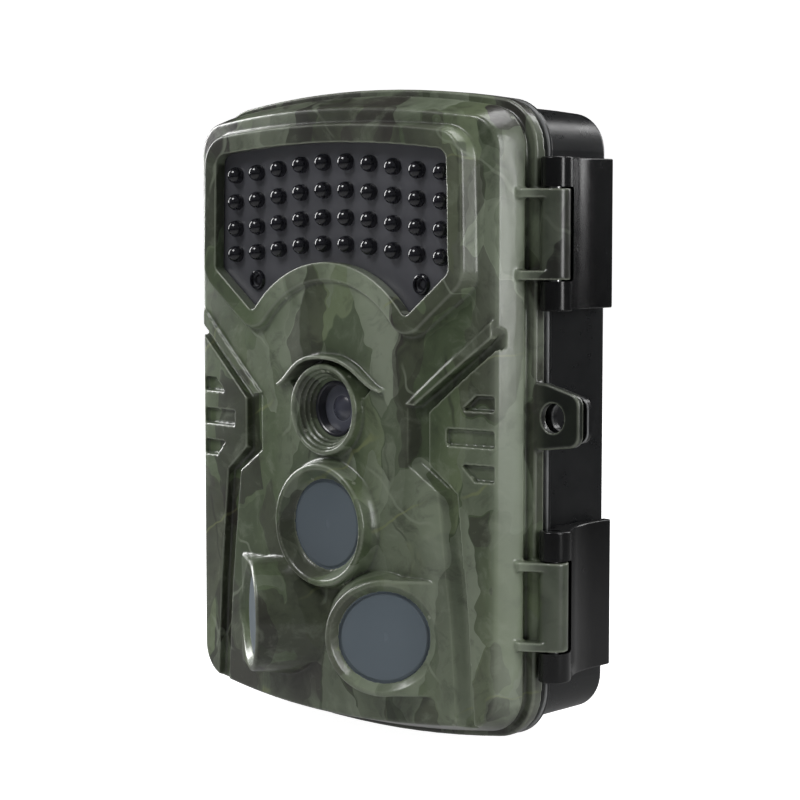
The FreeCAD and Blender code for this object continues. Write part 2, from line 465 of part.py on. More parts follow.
# ---------------------------------------------------------------- build
def main():
    shell = front_shell()
    out("front_shell", shell)
    rear = rear_shell()
    out("rear_shell", rear)
    for name, zc in (("upper", LATCH_Z[0]), ("lower", LATCH_Z[1])):
        out("latch_" + name, latch(zc))
    out("latch_pins", Part.makeCompound([cyl_z(LATCH_X, LATCH_Y, PIN_R, zc - LATCH_H / 2 + 0.5, zc + LATCH_H / 2 - 0.5) for zc in LATCH_Z]))
    out("hinge_pins", Part.makeCompound([cyl_z(HINGE_X, HINGE_Y, PIN_R, zc - 12.0, zc + 12.0) for zc in HINGE_Z]))

    # seal between the shells
    seal = slab(-1.85, SEAM_Y + 0.12, REAR_Y0 + 0.9).cut(slab(-3.95, SEAM_Y - 1, REAR_Y0 + 2))
    out("housing_seal", seal)

    # infrared window with moulded domes
    win = window_prism(1.1, 3.05, 4.6)
    domes = []
    for x, z in DOME_XZ:
        domes.append(Part.makeSphere(DOME_R, V(x, 2.2, z)).common(box(x - 3, x + 3, -1, 2.2, z - 3, z + 3)).fuse(cyl_y(x, z, DOME_R, 2.2, 3.3)))
    for x, z in SENSOR_XZ:
        domes.append(rev_y([(0, 2.15), (1.85, 2.15), (2.05, 2.25), (2.5, 3.3), (0, 3.3)], x, z))
    win = win.fuse(domes)
    bores = []
    for x, z in DOME_XZ:
        bores.append(cyl_y(x, z, 1.45, 1.75, 5.2))
    for x, z in SENSOR_XZ:
        bores.append(cyl_y(x, z, 1.55, 1.0, 2.95))
        bores.append(cyl_y(x, z, 1.3, 2.9, 5.2))
    win = win.cut(bores)
    out("ir_window", win)
    board = window_prism(0.6, 6.3, 7.5)
    out("ir_led_board", board)
    leds = [rev_y([(0, 1.95), (0.9, 2.15), (1.38, 2.8), (1.38, 5.3), (1.7, 5.3), (1.7, 6.28), (0, 6.28)], x, z) for x, z in DOME_XZ]
    out("ir_leds", Part.makeCompound(leds))
    out("light_sensor", rev_y([(0, 3.15), (0.8, 3.2), (1.2, 3.6), (1.2, 6.28), (0, 6.28)], *SENSOR_XZ[0]))
    out("status_led", rev_y([(0, 3.05), (0.8, 3.2), (1.2, 3.8), (1.2, 6.28), (0, 6.28)], *SENSOR_XZ[1]))

    # lens group
    # cover glass in its dark retaining tube, with the front of the lens standing in the middle
    lw = rev_y([(0, 5.3), (5.3, 5.3), (5.5, 3.3), (5.7, 3.15), (6.12, 3.15), (6.12, 5.0), (6.85, 5.0), (6.85, 5.75), (0, 5.75)], 0, LENS_Z)
    lw = lw.fuse(Part.makeSphere(5.2, V(0, 9.75, LENS_Z)).common(cyl_y(0, LENS_Z, 2.9, 3.0, 5.5)))
    out("lens_window", lw)
    lh = box(-11.0, 7.2, 6.0, 12.4, LENS_Z - 7.2, LENS_Z + 7.2)
    lh = fillet(lh, 0.6, lambda e: e.BoundBox.YLength > 6)
    lh = lh.cut(cyl_y(0, LENS_Z, 5.4, 5.9, 8.4)).cut(cyl_y(0, LENS_Z, 3.4, 5.9, 9.4)).cut(cyl_y(0, LENS_Z, 2.8, 5.9, 13))
    lh = lh.cut(box(-10.2, 3.6, 9.3, 10.3, LENS_Z - 4.4, LENS_Z + 4.4))
    lh = lh.cut(box(-3.5, 3.5, 11.1, 13, LENS_Z - 3.5, LENS_Z + 3.5))
    out("lens_holder", lh)
    # front element: a meniscus with a domed face
    el = Part.makeSphere(7.0, V(0, 13.15, LENS_Z)).common(cyl_y(0, LENS_Z, 5.3, 5.9, 8.35))
    out("lens_front_element", el)
    out("lens_rear_element", cyl_y(0, LENS_Z, 3.35, 8.45, 9.2))
    flt = box(-3.1, 3.1, 9.4, 10.2, LENS_Z - 4.3, LENS_Z + 4.3)
    out("ir_cut_filter", flt)
    out("image_sensor", box(-3.2, 3.2, 11.4, 12.42, LENS_Z - 3.2, LENS_Z + 3.2))
    out("sensor_board", box(-11.0, 7.2, 12.45, 13.3, LENS_Z - 7.2, LENS_Z + 7.2))

    # passive infrared lenses, sensors and boards
    thin = [(0, 0.15), (9.2, 0.22), (9.5, 0.4), (9.5, 0.55), (10.75, 0.55), (10.75, 1.35), (0, 1.35)]
    out("pir_lens_centre", rev_y(thin, 0, PIR_Z))
    can = [(0, 4.2), (3.9, 4.2), (4.15, 4.45), (4.15, 7.0), (4.7, 7.0), (4.7, 7.4), (0, 7.4)]
    out("pir_sensor_centre", rev_y(can, 0, PIR_Z))
    out("pir_board_centre", cyl_y(0, PIR_Z, 8.5, 7.42, 8.4))
    for name, sx in (("right", 1), ("left", -1)):
        o, d = pod_axis(sx)
        out("pir_lens_" + name, rev([(0, -1.15), (9.1, -1.25), (9.4, -1.45), (9.4, -1.75), (10.2, -1.75), (10.2, -2.4), (0, -2.4)], o, d))
        out("pir_sensor_" + name, rev([(0, -6.2), (3.9, -6.2), (4.15, -6.45), (4.15, -9.0), (4.7, -9.0), (4.7, -9.4), (0, -9.4)], o, d))
        out("pir_board_" + name, rev([(0, -9.42), (6.4, -9.42), (6.4, -10.3), (0, -10.3)], o, d))

    # main board with a window for the lens holder
    mb = box(-33.5, 33.5, 8.6, 10.0, 30.0, 86.5)
    mb = mb.cut(box(-11.6, 7.8, 8, 11, LENS_Z - 7.8, LENS_Z + 7.8))
    for x, z in BOARD_SCREWS:
        mb = mb.cut(cyl_y(x, z, 0.95, 8, 11))
    out("main_board", mb)
    out("board_screws", Part.makeCompound([cyl_y(x, z, 0.8, 6.1, 10.05).fuse(cyl_y(x, z, 1.7, 10.02, 11.1)) for x, z in BOARD_SCREWS]))

    # screen
    lcd = box(-25.5, 25.5, 10.9, 13.0, 89.0, 121.5).fuse(box(-22.5, 22.5, 12.9, 13.7, 91.0, 119.0))
    out("lcd_screen", lcd)

    # inner panel
    pnl = slab(-4.75, 13.9, 15.7)
    well_o = box(-21.5, 21.5, 10.3, 14.2, 7.5, 29.2)
    pnl = pnl.fuse(well_o)
    pnl = pnl.cut(box(-20.3, 20.3, 11.5, 17, 8.7, 28.0))
    pnl = pnl.cut(box(-21.5, 21.5, 13.5, 17, 92.0, 118.0))
    for n, x, z, r in KEYS:
        pnl = pnl.cut(cyl_y(x, z, r + 0.25, 13, 17))
    pnl = pnl.cut(box(-28.2, -17.8, 13, 17, 38.2, 41.8))
    for x, z in PANEL_SCREWS:
        pnl = pnl.cut(cyl_y(x, z, 1.3, 13, 17))
    pnl = pnl.cut(box(CARD_X - 5.9, CARD_X + 5.9, 11.55, 12.95, 27.5, 30))
    pnl = pnl.cut(box(1.8, 10.4, 11.3, 14.2, 27.5, 30))
    pnl = pnl.cut(Part.makeCylinder(2.0, 4, V(15.6, 12.75, 27), V(0, 0, 1)))
    for x in (-6.0, 6.0):
        pnl = pnl.cut(cyl_y(x, 123.75, 1.25, 13, 17))
    grill = []
    for i in range(-1, 2):
        for j in range(-1, 2):
            grill.append(cyl_y(27.0 + 2.8 * i, 20.0 + 2.8 * j, 0.75, 13, 17))
    pnl = pnl.cut(grill)
    out("inner_panel", pnl)
    out("panel_screws", Part.makeCompound([cyl_y(x, z, 1.1, 8.5, 15.8).fuse(cyl_y(x, z, 2.2, 15.74, 16.9)).cut(box(x - 1.6, x + 1.6, 16.4, 17.2, z - 0.25, z + 0.25)).cut(box(x - 0.25, x + 0.25, 16.4, 17.2, z - 1.6, z + 1.6)) for x, z in PANEL_SCREWS]))

    # keys, with the switches under them
    for n, x, z, r in KEYS:
        k = cyl_y(x, z, r, 11.95, 16.75)
        k = fillet(k, 0.5, on_y(16.75))
        k = k.fuse(cyl_y(x, z, r + 0.8, 13.15, 13.8))
        out("key_" + n, k)
    out("key_switches", Part.makeCompound([box(x - 2.2, x + 2.2, 10.02, 10.9, z - 2.2, z + 2.2) for n, x, z, r in KEYS]))
    ms = box(-25.6, -20.4, 13.2, 13.8, 37.4, 42.6).fuse(box(-24.6, -21.4, 13.2, 16.6, 38.5, 41.5))
    ms = fillet(ms, 0.4, lambda e: e.BoundBox.YMin > 16.5)
    out("mode_switch", ms)
    out("mode_switch_body", box(-28.0, -17.5, 10.02, 13.1, 37.5, 42.8))

    # card, its socket, the jacks and the speaker
    sock = box(CARD_X - 7.0, CARD_X + 7.0, 10.02, 13.4, 30.4, 45.0).cut(box(CARD_X - 5.7, CARD_X + 5.7, 11.7, 12.8, 28, 43.6))
    out("card_socket", sock)
    out("memory_card", box(CARD_X - 5.5, CARD_X + 5.5, 11.75, 12.75, 26.6, 41.6))
    usb = box(2.0, 10.2, 10.02, 14.0 - 0.15, 30.4, 37.0).cut(box(2.6, 9.6, 11.6, 13.3, 29, 36)).fuse(box(3.6, 8.6, 12.2, 12.7, 30.8, 36.2))
    out("usb_port", usb)
    av = box(12.4, 18.8, 10.02, 13.85, 30.4, 42.0).cut(Part.makeCylinder(1.78, 10, V(15.6, 12.0 - 0.05, 29), V(0, 0, 1)))
    out("av_jack", av)
    out("speaker", cyl_y(27.0, 20.0, 5.2, 10.2, 13.85).fuse(cyl_y(27.0, 20.0, 3.4, 9.2, 10.3)))
    out("microphone", cyl_y(27.0, 52.5, 2.0, 10.02, 11.6))

    # batteries, tray, springs and contacts
    tray = box(-31.0, 31.0, 22.0, 37.6, TRAY_Z0, TRAY_Z1)
    for z0 in (TRAY_Z0 + 1.5, 69.0):
        tray = tray.cut(box(-29.5, 29.5, 21, CELL_Y, z0, z0 + 54.0))
        for x in CELL_X:
            tray = tray.cut(cyl_z(x, CELL_Y, 7.25, z0, z0 + 54.0))
    for x, z in TRAY_SCREWS:
        sx = 1 if x > 0 else -1
        a, b = sorted((sx * 30.5, sx * 37.5))
        tray = tray.fuse(box(a, b, 36.0, 37.6, z - 3, z + 3))
        tray = tray.cut(cyl_y(x, z, 1.0, 35, 38))
    tray = tray.cut(cyl_z(JACK_X, 27.9, 4.7, 10, 15.2))
    out("battery_tray", tray)
    cells, springs, plates = [], [], []
    for z0 in (TRAY_Z0 + 1.5, 69.0):
        for i, x in enumerate(CELL_X):
            up = (i % 2 == 0)
            prof = [(0, 0), (6.6, 0), (AA_R, 0.5), (AA_R, AA_L - 1.9), (6.6, AA_L - 1.3), (2.75, AA_L - 1.3), (2.75, AA_L), (0, AA_L)]
            w = Part.makePolygon([V(r, 0, s) for r, s in prof] + [V(prof[0][0], 0, prof[0][1])])
            c = Part.Face(w).revolve(V(0, 0, 0), V(0, 0, 1), 360)
            h = Part.makeHelix(0.9, 2.25, 2.6, -9)
            prof_c = Part.makePolygon([V(2.6 + a, 0, b) for a, b in ((-0.25, -0.25), (0.25, -0.25), (0.25, 0.25), (-0.25, 0.25), (-0.25, -0.25))])
            sp = Part.Wire(h.Edges).makePipeShell([prof_c], True, True)
            if not up:
                c.rotate(V(0, 0, 0), V(1, 0, 0), 180)
                sp.rotate(V(0, 0, 0), V(1, 0, 0), 180)
            if up:
                c.translate(V(x, CELL_Y, z0 + 3.1)); sp.translate(V(x, CELL_Y, z0 + 0.4))
            else:
                c.translate(V(x, CELL_Y, z0 + 50.9)); sp.translate(V(x, CELL_Y, z0 + 53.6))
            cells.append(c)
            springs.append(sp)
            plates.append(box(x - 4, x + 4, CELL_Y - 4, CELL_Y + 4, z0 + 0.02, z0 + 0.1) if up else box(x - 4, x + 4, CELL_Y - 4, CELL_Y + 4, z0 + 53.9, z0 + 53.98))
            plates.append(box(x - 4, x + 4, CELL_Y - 4, CELL_Y + 4, z0 + 53.65, z0 + 53.98) if up else box(x - 4, x + 4, CELL_Y - 4, CELL_Y + 4, z0 + 0.02, z0 + 0.35))
    out("aa_cells", Part.makeCompound(cells))
    out("battery_springs", Part.makeCompound(springs))
    out("battery_contacts", Part.makeCompound(plates))
    out("tray_screws", Part.makeCompound([cyl_y(x, z, 0.88, 35.9, 39.2).fuse(cyl_y(x, z, 2.0, 34.6, 35.98)) for x, z in TRAY_SCREWS]))
    out("power_pins", Part.makeCompound([cyl_y(x, 123.75, 0.9, 12.2, 21.9).fuse(cyl_y(x, 123.75, 1.8, 12.2, 13.8)) for x in (-6.0, 6.0)]))

    # tripod insert and power inlet
    ins = cyl_z(0, TRIPOD_Y, 4.98, FLOOR_Z, 8.95).cut(cyl_z(0, TRIPOD_Y, 2.6, FLOOR_Z - 1, 7.5))
    out("tripod_insert", ins)
    jack = cyl_z(JACK_X, 27.9, 4.45, 4.95, 14.4).cut(cyl_z(JACK_X, 27.9, 2.9, 4, 13.4)).fuse(cyl_z(JACK_X, 27.9, 0.95, 6.0, 13.9))
    out("power_jack", jack)
    cap = box(JACK_X - 4.4, JACK_X + 4.4, 23.4, 33.2, -0.35, 1.35)
    cap = fillet(cap, 1.6, lambda e: e.BoundBox.ZLength > 1.6 and e.BoundBox.YMax < 24)
    cap = cap.fuse(box(JACK_X - 3.1, JACK_X + 3.1, 33.0, 35.2, -0.25, 1.25)).fuse(Part.makeCylinder(0.75, 6.2, V(JACK_X - 3.1, 35.2, 0.55), V(1, 0, 0)))
    cap = cap.fuse(cyl_z(JACK_X, 27.9, 3.0, 1.0, 3.5))
    cap = cap.cut(Part.makeCylinder(0.5, 8, V(JACK_X - 4, 35.2, 0.55), V(1, 0, 0)))
    out("power_cap", cap)
    out("power_cap_pin", Part.makeCylinder(0.45, 9.9, V(JACK_X - 4.95, 35.2, 0.55), V(1, 0, 0)))
    for n in WRITTEN:
        print(n)


KEYS = [("ok", 22.5, 60.0, 3.3), ("up", 22.5, 69.2, 2.8), ("down", 22.5, 50.8 - 0.0, 2.8), ("left", 13.3, 60.0, 2.8), ("right", 31.7, 60.0, 2.8),
        ("menu", -22.5, 66.0, 3.0), ("shot", -22.5, 54.0, 3.0)]

main()
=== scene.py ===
import bpy, bmesh, json, math
from mathutils import Vector, Matrix


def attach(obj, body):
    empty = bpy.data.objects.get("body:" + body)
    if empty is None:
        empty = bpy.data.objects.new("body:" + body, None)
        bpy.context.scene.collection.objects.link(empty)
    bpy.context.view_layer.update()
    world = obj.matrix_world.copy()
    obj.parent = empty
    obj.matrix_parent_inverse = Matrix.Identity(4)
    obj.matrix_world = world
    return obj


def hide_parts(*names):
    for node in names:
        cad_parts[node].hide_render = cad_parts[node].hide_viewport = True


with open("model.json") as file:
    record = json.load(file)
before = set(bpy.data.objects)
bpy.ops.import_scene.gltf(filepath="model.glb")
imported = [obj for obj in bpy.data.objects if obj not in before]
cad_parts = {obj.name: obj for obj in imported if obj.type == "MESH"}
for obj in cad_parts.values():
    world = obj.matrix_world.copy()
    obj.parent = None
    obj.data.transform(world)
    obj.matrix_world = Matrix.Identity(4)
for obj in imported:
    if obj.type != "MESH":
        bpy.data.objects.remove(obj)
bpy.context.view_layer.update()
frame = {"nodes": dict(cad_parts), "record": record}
N = frame["nodes"]

TY, FZ = 28.0, -2.5              # the datum of the drawing dimensions, in mm


def P(x, y, z):
    """A point given in the drawing's millimetres, in the row frame in metres."""
    return Vector((x / 1000.0, (y - TY) / 1000.0, (z - FZ) / 1000.0))


# ------------------------------------------------------------------ camera
cam = bpy.data.cameras.new("camera")
cam.sensor_width = 36.0
cam.lens = 99.40
cam.clip_start, cam.clip_end = 0.01, 50.0
cam_o = bpy.data.objects.new("camera", cam)
bpy.context.scene.collection.objects.link(cam_o)
cam_o.location = P(339.046, -341.534, 111.080)
cam_o.rotation_euler = Vector((-0.67779, 0.73062, -0.08241)).to_track_quat("-Z", "Y").to_euler()
bpy.context.scene.camera = cam_o
bpy.context.scene.view_settings.view_transform = "Standard"
bpy.context.scene.view_settings.look = "None"


# ------------------------------------------------------------------ materials
class Tree:
    """A short way to write shader nodes."""

    def __init__(self, name):
        self.m = bpy.data.materials.new(name)
        self.m.use_nodes = True
        self.t = self.m.node_tree
        self.b = self.t.nodes["Principled BSDF"]
        self._co = None

    def set(self, **kw):
        names = {"color": "Base Color", "rough": "Roughness", "metal": "Metallic", "spec": "Specular IOR Level", "coat": "Coat Weight",
                 "coat_rough": "Coat Roughness", "ior": "IOR", "trans": "Transmission Weight", "alpha": "Alpha", "sheen": "Sheen Weight", "coat_ior": "Coat IOR",
                 "sss": "Subsurface Weight"}
        for k, v in kw.items():
            s = self.b.inputs[names[k]]
            s.default_value = (*v, 1.0) if k == "color" and len(v) == 3 else v
        return self

    def node(self, kind, **kw):
        n = self.t.nodes.new(kind)
        for k, v in kw.items():
            setattr(n, k, v)
        return n

    def link(self, a, b):
        self.t.links.new(a, b)

    def co(self):
        if self._co is None:
            self._co = self.node("ShaderNodeTexCoord").outputs["Object"]
        return self._co

    def mapped(self, scale=(1, 1, 1), rot=(0, 0, 0), loc=(0, 0, 0), src=None):
        m = self.node("ShaderNodeMapping")
        m.inputs["Scale"].default_value = scale
        m.inputs["Rotation"].default_value = rot
        m.inputs["Location"].default_value = loc
        self.link(src or self.co(), m.inputs["Vector"])
        return m.outputs["Vector"]

    def noise(self, scale, detail=3.0, rough=0.5, distort=0.0, vec=None, lac=2.0):
        n = self.node("ShaderNodeTexNoise")
        n.inputs["Scale"].default_value = scale
        n.inputs["Detail"].default_value = detail
        n.inputs["Roughness"].default_value = rough
        n.inputs["Distortion"].default_value = distort
        n.inputs["Lacunarity"].default_value = lac
        self.link(vec or self.co(), n.inputs["Vector"])
        return n

    def voronoi(self, scale, feature="F1", vec=None, rand=1.0):
        n = self.node("ShaderNodeTexVoronoi", feature=feature)
        n.inputs["Scale"].default_value = scale
        n.inputs["Randomness"].default_value = rand
        self.link(vec or self.co(), n.inputs["Vector"])
        return n

    def ramp(self, fac, stops, mode="LINEAR"):
        r = self.node("ShaderNodeValToRGB")
        r.color_ramp.interpolation = mode
        e = r.color_ramp.elements
        while len(e) > 1:
            e.remove(e[-1])
        for i, (p, c) in enumerate(stops):
            x = e[0] if i == 0 else e.new(p)
            x.position = p
            x.color = (c, c, c, 1) if isinstance(c, (int, float)) else (*c, 1)
        self.link(fac, r.inputs["Fac"])
        return r.outputs["Color"]

    def mix(self, fac, a, b, kind="MIX"):
        n = self.node("ShaderNodeMix", data_type="RGBA", blend_type=kind)
        for s, v in ((n.inputs["Factor"], fac), (n.inputs["A"], a), (n.inputs["B"], b)):
            pass
        sock = {"f": n.inputs[0], "a": n.inputs[6], "b": n.inputs[7]}
        for k, v in (("f", fac), ("a", a), ("b", b)):
            if isinstance(v, bpy.types.NodeSocket):
                self.link(v, sock[k])
            elif k == "f":
                sock[k].default_value = v
            else:
                sock[k].default_value = (*v, 1.0) if len(v) == 3 else v
        return n.outputs[2]

    def math(self, op, a, b=0.0, clamp=False):
        n = self.node("ShaderNodeMath", operation=op, use_clamp=clamp)
        for i, v in enumerate((a, b)):
            if isinstance(v, bpy.types.NodeSocket):
                self.link(v, n.inputs[i])
            else:
                n.inputs[i].default_value = v
        return n.outputs[0]

    def axis(self, i, vec=None):
        n = self.node("ShaderNodeSeparateXYZ")
        self.link(vec or self.co(), n.inputs[0])
        return n.outputs[i]

    def combine(self, x, y, z):
        n = self.node("ShaderNodeCombineXYZ")
        for i, v in enumerate((x, y, z)):
            if isinstance(v, bpy.types.NodeSocket):
                self.link(v, n.inputs[i])
            else:
                n.inputs[i].default_value = v
        return n.outputs[0]

    def vmath(self, op, a, b):
        n = self.node("ShaderNodeVectorMath", operation=op)
        for i, v in enumerate((a, b)):
            if isinstance(v, bpy.types.NodeSocket):
                self.link(v, n.inputs[i])
            else:
                n.inputs[i].default_value = v
        return n.outputs[0]

    def bump(self, height, strength=0.2, distance=0.0001, normal=None):
        n = self.node("ShaderNodeBump")
        n.inputs["Strength"].default_value = strength
        n.inputs["Distance"].default_value = distance
        self.link(height, n.inputs["Height"])
        if normal:
            self.link(normal, n.inputs["Normal"])
        self.link(n.outputs[0], self.b.inputs["Normal"])
        return n.outputs[0]


D0, D1, D2 = (0.024, 0.023, 0.018), (0.042, 0.038, 0.032), (0.066, 0.060, 0.054)
G0, G1, G2 = (0.060, 0.082, 0.042), (0.100, 0.135, 0.070), (0.150, 0.190, 0.100)
L0, L1, Y0 = (0.165, 0.195, 0.135), (0.270, 0.310, 0.230), (0.240, 0.270, 0.110)
PATCHES = [
    # under the window and round the lens
    (-2, 91, 16, 7, 0.10, 0.80, L1), (10, 95, 5, 8, -0.5, 0.6, G2), (24, 88, 9, 15, 0.45, 0.75, D1), (14, 78, 5, 12, -0.2, 0.6, D2), (-17, 88, 8, 10, -0.4, 0.6, G0),
    (-26, 78, 7, 16, 0.10, 0.65, G1), (-26, 66, 6, 9, 0.2, 0.6, L0), (18, 62, 9, 11, 0.6, 0.75, D2), (3, 64, 7, 9, 0.0, 0.6, D1),
    # leaves right of the middle disc
    (18, 50, 4.5, 15, -0.60, 0.80, G2), (24, 46, 4, 14, -0.50, 0.7, G0), (29, 36, 6, 15, 0.15, 0.75, D1), (12, 52, 3, 10, -0.2, 0.5, L0), (30, 68, 3.5, 14, -0.45, 0.75, G1),
    # lower left and the foot
    (-25, 46, 5, 15, 0.05, 0.70, D1), (-28, 50, 3, 9, 0.15, 0.6, L0), (-17, 24, 8, 12, -0.1, 0.75, D1), (-10, 27, 4, 11, -0.25, 0.65, G0), (-6, 15, 8, 7, 0.5, 0.70, D0),
    (-20, 9, 7, 6, 0.0, 0.6, G0), (-6, 6, 4, 8, 0.1, 0.6, L0), (4, 9, 16, 8, 0.0, 0.70, D1), (16, 6, 8, 5, 0.3, 0.6, G1), (27, 8, 5, 9, 0.5, 0.65, G2), (20, 36, 6, 5, 0.3, 0.6, Y0),
    # panels, rim and side walls; on the side wall (x 47) the pale L1 patches are painted highlight, the dark ones are
    # print
    (-42, 36, 3.5, 14, 0.0, 0.70, L0), (-44, 20, 3, 12, 0.0, 0.6, G1), (-42, 58, 5, 7, 0.2, 0.6, D1), (-45, 68, 4, 6, 0.1, 0.6, L0), (-46, 100, 3, 10, 0.0, 0.6, Y0),
    (38, 64, 4, 9, 0.5, 0.65, D1), (43, 54, 4, 9, -0.5, 0.65, G2), (41, 28, 4.5, 15, 0.1, 0.65, D1), (36, 42, 4, 6, 0.3, 0.6, G1), (40, 12, 5, 8, -0.6, 0.65, L0),
    (45, 104, 5, 16, 0.0, 0.6, G1), (42, 84, 5, 9, 0.5, 0.6, D1), (47, 44, 3, 7, 0.0, 0.6, L1), (47, 15, 3, 8, 0.3, 0.6, L1), (47, 88, 3, 9, 0.0, 0.55, L1), (47, 66, 3, 6, 0.0, 0.6, D1), (47, 116, 3, 5, 0.0, 0.6, D1),
    (-32, 133, 9, 5, -0.3, 0.75, D1), (-16, 133, 5, 6, 0.7, 0.65, D2), (-2, 134, 6, 5, -0.2, 0.65, G1), (12, 134, 7, 5, 0.2, 0.7, D1), (28, 133, 7, 6, 0.2, 0.65, G0), (38, 128, 5, 8, 0.5, 0.65, D2),
]


def camo_material():
    """A printed woodland film under a satin clear coat: soft patches, leaves with a light and a dark side, twigs, and a few large placed patches."""
    t = Tree("camo_clearcoat")
    warp = t.noise(42.0, 3.0, 0.6)
    off = t.vmath("SCALE", t.vmath("SUBTRACT", warp.outputs["Color"], (0.5, 0.5, 0.5)), (0, 0, 0))
    off.node.inputs["Scale"].default_value = 0.016
    co = t.vmath("ADD", t.co(), off)
    big = t.noise(30.0, 3.0, 0.55, 0.3, vec=t.mapped((1.0, 1.0, 0.55), (0, 0.35, 0), (0.02, 0, 0.013), src=co))
    c = t.ramp(big.outputs["Fac"], [(0.38, (0.028, 0.026, 0.021)), (0.45, (0.052, 0.055, 0.040)), (0.51, (0.090, 0.106, 0.070)), (0.57, (0.140, 0.168, 0.112)), (0.64, (0.215, 0.250, 0.175))])
    # placed patches: x, z, half width, half height, turn, strength, colour
    xyz = t.node("ShaderNodeSeparateXYZ")
    t.link(co, xyz.inputs[0])
    X, Z = xyz.outputs[0], xyz.outputs[2]
    for x, z, a, b, turn, amt, col in PATCHES:
        cs, sn = math.cos(turn), math.sin(turn)
        dx = t.math("SUBTRACT", X, x / 1000.0)
        dz = t.math("SUBTRACT", Z, (z - FZ) / 1000.0)
        u = t.math("ADD", t.math("MULTIPLY", dx, cs * 1000.0 / a), t.math("MULTIPLY", dz, sn * 1000.0 / a))
        w = t.math("ADD", t.math("MULTIPLY", dx, -sn * 1000.0 / b), t.math("MULTIPLY", dz, cs * 1000.0 / b))
        r = t.math("ADD", t.math("MULTIPLY", u, u), t.math("MULTIPLY", w, w))
        c = t.mix(t.ramp(r, [(0.55, amt), (1.0, 0.0)]), c, col)
    # leaves with a soft border, pale towards one side
    for sc, rot, loc, amt_l, amt_d, light, tip, dark in (
            (40.0, 0.60, (0.1, 0, 0.03), 0.85, 0.75, G1, L1, D1),
            (62.0, -0.75, (0.3, 0, 0.11), 0.75, 0.70, G0, G2, D0),
            (95.0, 0.15, (0.7, 0, 0.21), 0.60, 0.55, L0, L1, D1)):
        vec = t.mapped((1.0, 0.8, 0.36), (0, rot, 0), loc, src=co)
        v = t.voronoi(sc, "SMOOTH_F1", vec=vec)
        v.inputs["Smoothness"].default_value = 0.06
        k = t.axis(0, v.outputs["Color"])
        side = t.math("MULTIPLY", t.math("SUBTRACT", t.axis(0, vec), t.axis(0, v.outputs["Position"])), sc)
        leaf = t.mix(t.ramp(side, [(0.0, 0.0), (0.45, 1.0)]), light, tip)
        c = t.mix(t.ramp(k, [(0.68, 0.0), (0.71, amt_l)]), c, leaf)
        c = t.mix(t.ramp(k, [(0.27, amt_d), (0.31, 0.0)]), c, dark)
    fine = t.noise(150.0, 5.0, 0.65, 0.4, vec=co)
    c = t.mix(t.ramp(fine.outputs["Fac"], [(0.30, 0.55), (0.48, 0.0)]), c, D0)
    c = t.mix(t.ramp(fine.outputs["Fac"], [(0.54, 0.0), (0.76, 0.45)]), c, L1)
    for sc, rot, loc, col, th, amt in ((7.0, 0.9, 0.0, L1, 0.008, 0.45), (6.0, -0.5, 0.37, L1, 0.007, 0.45), (8.0, 0.15, 0.71, D0, 0.010, 0.55), (7.5, -1.1, 0.19, Y0, 0.007, 0.45)):
        w = t.node("ShaderNodeTexWave", wave_type="BANDS", bands_direction="X", wave_profile="TRI")
        w.inputs["Scale"].default_value = sc
        w.inputs["Distortion"].default_value = 1.6
        w.inputs["Detail"].default_value = 2.0
        w.inputs["Detail Scale"].default_value = 2.2
        w.inputs["Detail Roughness"].default_value = 0.55
        t.link(t.mapped((1, 0.5, 1), (0, rot, 0), (loc, 0, loc), src=co), w.inputs["Vector"])
        line = t.ramp(w.outputs["Fac"], [(0.5 - 2.6 * th, 0.0), (0.5 - th, 1.0), (0.5 + th, 1.0), (0.5 + 2.6 * th, 0.0)])
        gate = t.noise(48.0, 1.0, 0.5, vec=t.mapped((1, 1, 1), (0, 0, 0), (loc * 3, 0.2, loc), src=co))
        g = t.ramp(gate.outputs["Fac"], [(0.57, 0.0), (0.63, amt)])
        c = t.mix(t.math("MULTIPLY", line, g), c, col)
    # painted highlight: the front part of the side wall is painted paler, standing in for the band of light that runs
    # along it
    wall_painted_highlight = t.ramp(t.math("ABSOLUTE", t.axis(0)), [(0.0438, 0.0), (0.0462, 0.62)])
    wall_painted_highlight = t.math("MULTIPLY", wall_painted_highlight, t.ramp(t.math("MULTIPLY", t.axis(1), -10.0), [(0.155, 0.10), (0.180, 1.0)]))
    c = t.mix(t.math("MULTIPLY", wall_painted_highlight, t.ramp(big.outputs["Fac"], [(0.42, 0.35), (0.52, 1.0)])), c, (0.330, 0.375, 0.290))
    # the print thins out to the dark resin on the lug and the knuckles
    edge = t.ramp(t.axis(0), [(0.0488, 0.0), (0.0504, 1.0)])
    lug = t.ramp(t.math("MULTIPLY", t.math("ABSOLUTE", t.math("SUBTRACT", t.axis(2), 0.0722)), 100.0), [(0.76, 0.95), (0.84, 0.62)])
    c = t.mix(t.math("MULTIPLY", edge, lug), c, (0.007, 0.009, 0.007))
    # proud edges are painted pale as worn print together with painted highlight; the creases are painted dark as
    # painted shade
    geo = t.node("ShaderNodeNewGeometry")
    wear_and_highlight_breakup = t.noise(90.0, 3.0, 0.6, vec=co)
    proud_wear_and_highlight = t.ramp(geo.outputs["Pointiness"], [(0.512, 0.0), (0.562, 0.85)])
    c = t.mix(t.math("MULTIPLY", proud_wear_and_highlight, t.ramp(wear_and_highlight_breakup.outputs["Fac"], [(0.30, 0.55), (0.60, 1.0)])), c, (0.34, 0.37, 0.29))
    # painted shade: concave creases darkened towards near black from the mesh's pointiness
    c = t.mix(t.ramp(geo.outputs["Pointiness"], [(0.435, 0.85), (0.488, 0.0)]), c, (0.012, 0.013, 0.010))
    t.link(c, t.b.inputs["Base Color"])
    t.set(spec=0.5, coat=0.5, coat_rough=0.16)
    r = t.noise(300.0, 3.0, 0.6)
    t.link(t.ramp(r.outputs["Fac"], [(0.3, 0.30), (0.7, 0.40)]), t.b.inputs["Roughness"])
    g = t.noise(2600.0, 2.0, 0.5)
    t.bump(g.outputs["Fac"], 0.08, 0.00004)
    return t.m


